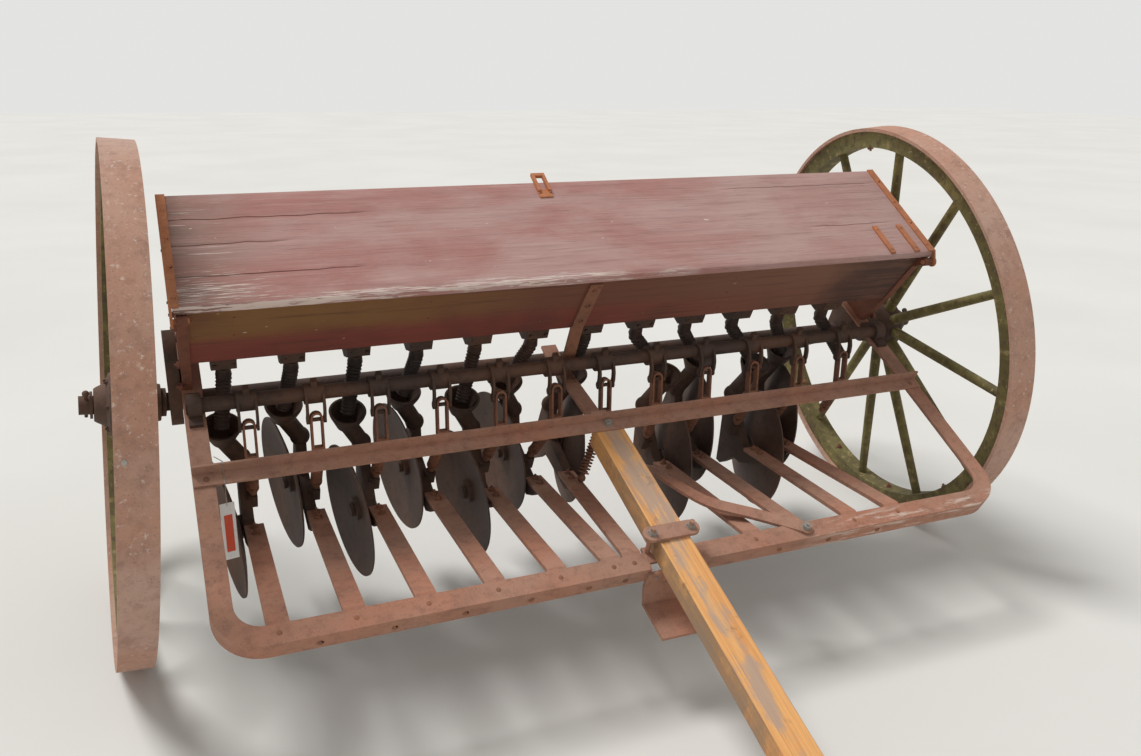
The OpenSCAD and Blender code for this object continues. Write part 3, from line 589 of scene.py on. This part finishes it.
# %% A split and ragged board
LID_X, LID_Y, LID_W, LID_Z, BOARD_T = 981, -147, 351, 397, 20
LID_TILT = math.radians(4)
COLUMNS, EDGE_R = 150, 2.6
WORN_IN, RAGGED_IN = 12, 14
# Each split: its y, the x where it starts and ends, and its depth
SPLITS = [(-60, -982, -560, 9.0), (38, -982, -700, 6.0), (120, -982, -520, 8.0), (150, 420, 982, 4.0),
          (-20, 610, 930, 3.0)]


def lid_under(y):
    return LID_Z + (y - LID_Y) * math.tan(LID_TILT)


def runs_along(edge):
    return abs(edge.verts[0].co.x - edge.verts[1].co.x) > 1


bm = bmesh.new()
slab(bm, Matrix(), (-LID_X, LID_Y, 0), (LID_X, LID_Y + LID_W, BOARD_T))
bmesh.ops.bevel(bm, geom=[e for e in bm.edges if runs_along(e)], offset=EDGE_R, segments=2, profile=0.5,
                affect="EDGES", material=-1)
bmesh.ops.subdivide_edges(bm, edges=[e for e in bm.edges if runs_along(e)], cuts=COLUMNS, use_grid_fill=True)
rows = sorted({LID_Y + 10 + 18 * k for k in range(18)} | {at + d for at, *_ in SPLITS for d in (-1.6, 0, 1.6)})
for y in rows:
    bmesh.ops.bisect_plane(bm, geom=bm.verts[:] + bm.edges[:] + bm.faces[:], plane_co=(0, y, 0),
                           plane_no=(0, 1, 0))
for v in bm.verts:
    x, y, z = v.co
    on_top = z > BOARD_T - 0.1
    for at, x0, x1, depth in SPLITS:
        if on_top and abs(y - at) < 0.1 and x0 < x < x1:
            deep = depth * min(1, (x1 - x) / 160 if x0 < -900 else min(x1 - x, x - x0) / 120)
            v.co.z -= deep
        if abs(y - at) < 2 and x0 - 40 < x < x1 + 40:
            v.co.y += 4 * noise.noise(Vector((x / 60, at, 0)))
    worn = max(0, 1 - (y - LID_Y) / WORN_IN) if z > BOARD_T / 2 else 0
    v.co.z -= worn * (1.2 + 3.2 * max(0, noise.noise(Vector((x / 45, 3, 0))) + 0.25))
    v.co.y += worn * 2.4 * max(0, noise.noise(Vector((x / 30, 7, 0))) + 0.2)
    if x < -LID_X + RAGGED_IN:
        torn = 9 * abs(noise.noise(Vector((y / 22, 1, z / 30))))
        torn += 5 * abs(noise.noise(Vector((y / 7, 2, z / 9))))
        v.co.x += torn * (1 - (x + LID_X) / RAGGED_IN)
    if on_top:
        v.co.z -= 0.9 * abs(noise.noise(Vector((x / 260, y / 26, 5))))
    v.co.z += lid_under(v.co.y)
board = piece("lid_board", bm, "lid", "lid_paint", lid_paint, smooth=50)
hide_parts("lid")

# %% [markdown]
# The screws of the lid's irons are thin trim, so they are made here and not in the solids.

# %% Trim on the lid
ON_LID = (0, -math.sin(LID_TILT), 1)


def lid_top(x, y, lift=0.0):
    return Vector((x, y, lid_under(y) + BOARD_T + lift))


bm = bmesh.new()
for s in (-1, 1):
    for y in (-120, -30, 60, 150):
        round_head(bm, facing(lid_top(s * 974, y, 4), ON_LID), 5.5, 3)
for x in (846, 928):
    for y in (-130, -50):
        round_head(bm, facing(lid_top(x, y, 5), ON_LID), 4.5, 2.6)
for x in (-84, -56):
    round_head(bm, facing(lid_top(x, 160, 3), ON_LID), 4, 2.4)
piece("lid_screws", bm, "lid", "lid_iron", lid_iron)

# %% [markdown]
# ## Feed cups and box hardware
# Every feed cup hangs on two ears, bolted up through the bottom board, which makes the scalloped dark
# line under the front board. Rivets fix the strap up the middle, and nails the boards to the ends.

# %% Ears and bolts of the cups
BOX_Z = 205
EAR_IN, EAR_OUT, EAR_T = 27, 48, 9
bm = bmesh.new()
for row in range(ROWS):
    middle = row_x(row) + CUP_SHIFT
    for s in (-1, 1):
        near, far = sorted((middle + s * EAR_IN, middle + s * EAR_OUT))
        slab(bm, Matrix(), (near, -86, BOX_Z - EAR_T), (far, CUP_Y, BOX_Z - 0.3))
        nut(bm, facing((middle + s * 38, -70, BOX_Z - EAR_T), DOWN, 0.5 * s), 7, 5)
        round_head(bm, facing((middle + s * 20, -84, BOX_Z - 26), AHEAD), 5, 3)
piece("cup_ears", bm, "frame", "dark_casting", dark_casting)

bm = bmesh.new()
FRONT_LEAN = (0, -1, -0.22)
FRONT_LOW, FRONT_HIGH, BOX_TOP = -95, -137, 396
for z in (236, 300, 364):
    y = FRONT_LOW + (FRONT_HIGH - FRONT_LOW) * (z - BOX_Z) / (BOX_TOP - BOX_Z)
    round_head(bm, facing((-26, y - 6.4, z), FRONT_LEAN), 7, 3.4)
    for x in (-945, -860, -430, 380, 800, 945):
        round_head(bm, facing((x, y, z), FRONT_LEAN), 3.2, 1.4)
for s in (-1, 1):
    for y, z in ((-70, 110), (90, 110), (-80, 190), (130, 190), (-110, 330), (150, 330), (20, 250)):
        nut(bm, facing((s * 975, y, z), (s, 0, 0), 0.3 + y), 8, 5)
piece("box_bolts", bm, "frame", "box_end_casting", box_end_casting)

# %% [markdown]
# ## Openers
# Two bolts pin each drag bar to its boot, and four rivets hold each disc's hub plate.

# %% Boot bolts and disc rivets
FALL = math.radians(30)
DRAG_UP = (0, math.sin(FALL), math.cos(FALL))
DISC_X, DISC_Z = -62, -215
DISC_TURN = math.radians(9)


def drag_top(y):
    return RAIL_Z - ANGLE_T + (-700 - y) * math.tan(FALL)


bm = bmesh.new()
for boot_x, foot_x, rank in OPENERS:
    end = RANKS[rank][1]
    for back in (14, 44):
        y = end - back
        x = boot_x + (foot_x - boot_x) * (y - end) / (-743 - end)
        nut(bm, facing((x, y, drag_top(y)), DRAG_UP, 0.3), 8, 5)
piece("boot_bolts", bm, "frame", "rusted_forging", rusted_forging)

for number, (boot_x, _, rank) in enumerate(OPENERS, 1):
    boot = Matrix.Translation((boot_x, 0, 0)) @ Matrix.Diagonal((-side(number - 1), 1, 1, 1))
    hub = boot @ Matrix.Translation((DISC_X, RANKS[rank][0], DISC_Z)) @ Matrix.Rotation(DISC_TURN, 4, "Z")
    bm = bmesh.new()
    for k in range(4):
        around = math.radians(45 + 90 * k)
        at = Vector((31, 32 * math.cos(around), 32 * math.sin(around)))
        round_head(bm, hub @ facing(at, (1, 0, 0)), 4, 2.4)
    piece(f"disc_rivets_{number:02d}", bm, f"disc_{number:02d}", "disc_steel", disc_steel)

# %% [markdown]
# ## Wheels
# The felloes are bolted to the tyre between the spokes, and a square nut shows on the inside of each
# joint. The cast hub's two halves are held by bolts through its flange.

# %% Bolts of the wheels
WHEEL_R, TYRE_T, FELLOE_D = 609.6, 10, 48
FELLOE_IN = WHEEL_R - TYRE_T - FELLOE_D
SPOKES, FIRST_SPOKE = 12, 8.5
for s, name in ((-1, "left"), (1, "right")):
    wheel = at_wheel(s)
    bm = bmesh.new()
    for k in range(SPOKES):
        around = math.radians(FIRST_SPOKE + 360 / SPOKES * (k + 0.5))
        inward = Vector((0, -math.cos(around), -math.sin(around)))
        nut(bm, wheel @ facing(inward * -FELLOE_IN, inward, 0.4), 8, 5)
    piece(f"felloe_nuts_{name}", bm, f"wheel_{name}", "tyre_iron", rusted_forging)
    bm = bmesh.new()
    for k in range(6):
        around = math.radians(20 + 60 * k)
        nut(bm, wheel @ facing((29, 62 * math.cos(around), 62 * math.sin(around)), (1, 0, 0), 0.4), 7, 4)
    piece(f"hub_nuts_{name}", bm, f"wheel_{name}", "dark_casting", dark_casting)

# %% [markdown]
# One tyre bolt at the left was renewed, and its zinc head is bright on the tread.

# %% The renewed tyre bolt
around = math.radians(143.6)
outward = Vector((0, math.cos(around), math.sin(around)))
bm = bmesh.new()
round_head(bm, at_wheel(-1) @ facing(outward * WHEEL_R + Vector((20.7, 0, 0)), outward), 6, 2.4)
piece("tyre_bolt_left", bm, "wheel_left", "tyre_iron", zinc)

# %% [markdown]
# ## The paper tag
# A blank sale tag hangs by a thin wire from the cross angle at the left. It hangs plumb, so it is
# turned back by the frame's pitch. It is bare but for an orange field.


# %% Blank tag on a wire
def plain(name, colour, rough):
    f = Finish(name)
    soil = f.between(f.cloud(60, 4.0, 0.6), 0.5, 0.75)
    return f.close(f.mix(soil * 0.25, tone(*colour), tone(150, 132, 112)), rough, f.cloud(300, 2.0) * 0.2, 0.0002)


tag_white, tag_orange = plain("tag_white", (226, 224, 220), 0.6), plain("tag_orange", (206, 74, 44), 0.55)
TAG_X = -914
hang = Matrix.Translation((TAG_X, -356, 50)) @ Matrix.Rotation(-PITCH, 4, "X")
hang = hang @ Matrix.Rotation(math.radians(12), 4, "Z")
bm = bmesh.new()
slab(bm, hang, (-16, -0.4, -150), (16, 0.4, -16))
slab(bm, hang, (-9, -0.9, -132), (9, -0.3, -44))
bm.faces.ensure_lookup_table()
for face in bm.faces[6:12]:
    face.material_index = 1
piece("sale_tag", bm, "frame", "rusted_angle", tag_white, tag_orange)

bm = bmesh.new()
for a, b in (((TAG_X, -351.2, 90.6), (TAG_X, -355, 52)),
             ((TAG_X, -355, 52), tuple(hang @ Vector((0, -0.5, -22)))),
             ((TAG_X, -351.2, 90), (TAG_X, -317, 90)),
             ((TAG_X, -317, 90), (TAG_X, -317, 115)),
             ((TAG_X, -317, 115), (TAG_X, -311, 115)),
             ((TAG_X, -311, 115), (TAG_X - 16, -306, 128))):
    a, b = Vector(a), Vector(b)
    drum(bm, facing(a, b - a), 0.9, 0.9, -0.8, (b - a).length + 0.8, 6)
piece("tag_wire", bm, "frame", "rusted_forging", zinc)

# %% [markdown]
# ## Floor and light
# A plain pale floor and a broad soft sun, high behind the left of the drill, give its lid the
# brightest light and leave the front board in soft shade, as the day did. The world fills the rest.


# %% Floor, lamp and world
def pale_floor():
    f = Finish("pale_floor")
    return f.close(f.mix(f.between(f.cloud(0.6, 3.0), 0.3, 0.7), tone(214, 212, 208), tone(209, 207, 202)), 0.95)


bm = bmesh.new()
bmesh.ops.create_grid(bm, x_segments=1, y_segments=1, size=30)
floor_mesh = bpy.data.meshes.new("floor")
bm.to_mesh(floor_mesh)
bm.free()
floor_mesh.materials.append(pale_floor())
floor = bpy.data.objects.new("floor", floor_mesh)
bpy.context.scene.collection.objects.link(floor)

lamp_data = bpy.data.lights.new("soft_sun", "SUN")
lamp_data.angle, lamp_data.energy = math.radians(22), 2.25
lamp = bpy.data.objects.new("soft_sun", lamp_data)
lamp_at = Vector((-1.8, 1.5, 4.6))
lamp.matrix_world = facing(lamp_at, lamp_at)
bpy.context.scene.collection.objects.link(lamp)

world = bpy.data.worlds.new("studio")
bpy.context.scene.world = world
world.use_nodes = True
sky = world.node_tree
sky.nodes.clear()
rays, back, out = (sky.nodes.new("ShaderNode" + kind) for kind in ("LightPath", "Background", "OutputWorld"))
seen = sky.nodes.new("ShaderNodeMath")
seen.operation = "MULTIPLY_ADD"
seen.inputs[1].default_value, seen.inputs[2].default_value = 0.24, 0.68
sky.links.new(rays.outputs["Is Camera Ray"], seen.inputs[0])
back.inputs["Color"].default_value = tone(236, 236, 234)
sky.links.new(seen.outputs[0], back.inputs["Strength"])
sky.links.new(back.outputs[0], out.inputs[0])
bpy.context.scene.view_settings.view_transform = "Standard"
